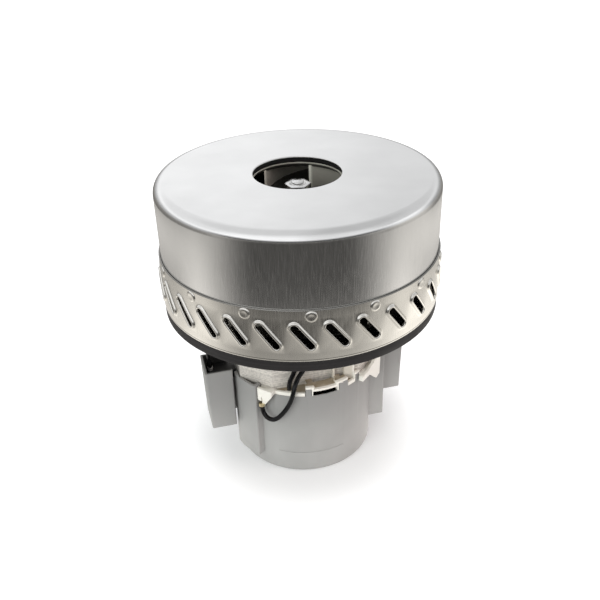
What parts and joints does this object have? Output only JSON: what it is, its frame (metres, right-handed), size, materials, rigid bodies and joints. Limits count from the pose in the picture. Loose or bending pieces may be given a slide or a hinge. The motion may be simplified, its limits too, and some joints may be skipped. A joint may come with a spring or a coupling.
{
  "type": "vacuum motor unit",
  "caption": "Two-stage vacuum fan motor: a round pressed-steel fan housing with slanted exhaust vents over a gasketed flange, on a grey brush-motor cup with side terminal boxes.",
  "frame": {"origin": "centre of the motor cup's foot", "axes": "+Z along the shaft towards the air inlet, +X towards the right-hand terminal box, -Y to the front"},
  "size_m": [0.1465, 0.1464, 0.162],
  "materials": {
    "cover_steel": "satin pressed sheet with faint draw marks",
    "pan_steel": "satin pressed sheet with bright lips",
    "guide_steel": "satin sheet",
    "impeller_alloy": "satin sheet",
    "bracket_alloy": "cast, satin",
    "machined_steel": "bright turned",
    "stack_steel": "stacked sheets, dull",
    "copper": "enamelled wire and bare copper",
    "brass": "bright",
    "tinned_brass": "tinned",
    "carbon": "matt pressed carbon",
    "grey_plastic": "fine-textured moulding",
    "white_plastic": "satin moulding",
    "black_plastic": "satin moulding",
    "black_rubber": "matt",
    "lead_sheath": "soft gloss"
  },
  "bodies": {
    "housing": {"fan_cover": "cover_steel", "vent_pan": "pan_steel", "guide_top_plate": "guide_steel", "guide_vanes": "guide_steel", "guide_base": "guide_steel", "fan_end_bracket": "bracket_alloy", "upper_bearing_outer": "machined_steel", "upper_bearing_balls": "machined_steel", "lower_bearing_outer": "machined_steel", "lower_bearing_balls": "machined_steel", "pan_screws": "machined_steel", "through_bolts": "machined_steel", "brush_spring_left": "machined_steel", "brush_spring_right": "machined_steel", "stator_stack": "stack_steel", "field_coils": "copper", "brush_tube_left": "brass", "brush_tube_right": "brass", "lead_ferrule": "brass", "lead_crimp": "brass", "spade_terminals": "tinned_brass", "motor_cup": "grey_plastic", "upper_coil_frame": "white_plastic", "lower_coil_frame": "white_plastic", "brush_holder_left": "black_plastic", "brush_holder_right": "black_plastic", "terminal_block_left": "black_plastic", "terminal_block_right": "black_plastic", "flange_gasket": "black_rubber", "inlet_seal": "black_rubber", "lower_bearing_sleeve": "black_rubber", "field_lead": "lead_sheath", "coil_lead": "lead_sheath", "supply_lead": "lead_sheath"},
    "rotor": {"impeller_1_shroud": "impeller_alloy", "impeller_1_blades": "impeller_alloy", "impeller_1_disc": "impeller_alloy", "impeller_2_shroud": "impeller_alloy", "impeller_2_blades": "impeller_alloy", "impeller_2_disc": "impeller_alloy", "shaft": "machined_steel", "fan_spacer": "machined_steel", "spacer_lower": "machined_steel", "spacer_middle": "machined_steel", "spacer_upper": "machined_steel", "shaft_washer": "machined_steel", "shaft_nut": "machined_steel", "upper_bearing_inner": "machined_steel", "lower_bearing_inner": "machined_steel", "armature_core": "stack_steel", "armature_winding": "copper", "commutator": "copper", "cooling_fan": "black_plastic"},
    "brush_left": {"carbon_brush_left": "carbon"},
    "brush_right": {"carbon_brush_right": "carbon"}
  },
  "joints": [
    {"name": "rotor_spin", "type": "hinge", "parent": "housing", "child": "rotor", "pos_m": [0, 0, 0.09], "axis": [0, 0, 1], "continuous": true},
    {"name": "brush_left_slide", "type": "slide", "parent": "housing", "child": "brush_left", "axis": [-0.891, -0.454, 0], "range_m": [0, 0.0025], "stiffness_N_per_m": 250, "springref_m": -0.012, "deforming": ["brush_spring_left"]},
    {"name": "brush_right_slide", "type": "slide", "parent": "housing", "child": "brush_right", "axis": [0.891, 0.454, 0], "range_m": [0, 0.0025], "stiffness_N_per_m": 250, "springref_m": -0.012, "deforming": ["brush_spring_right"]}
  ]
}
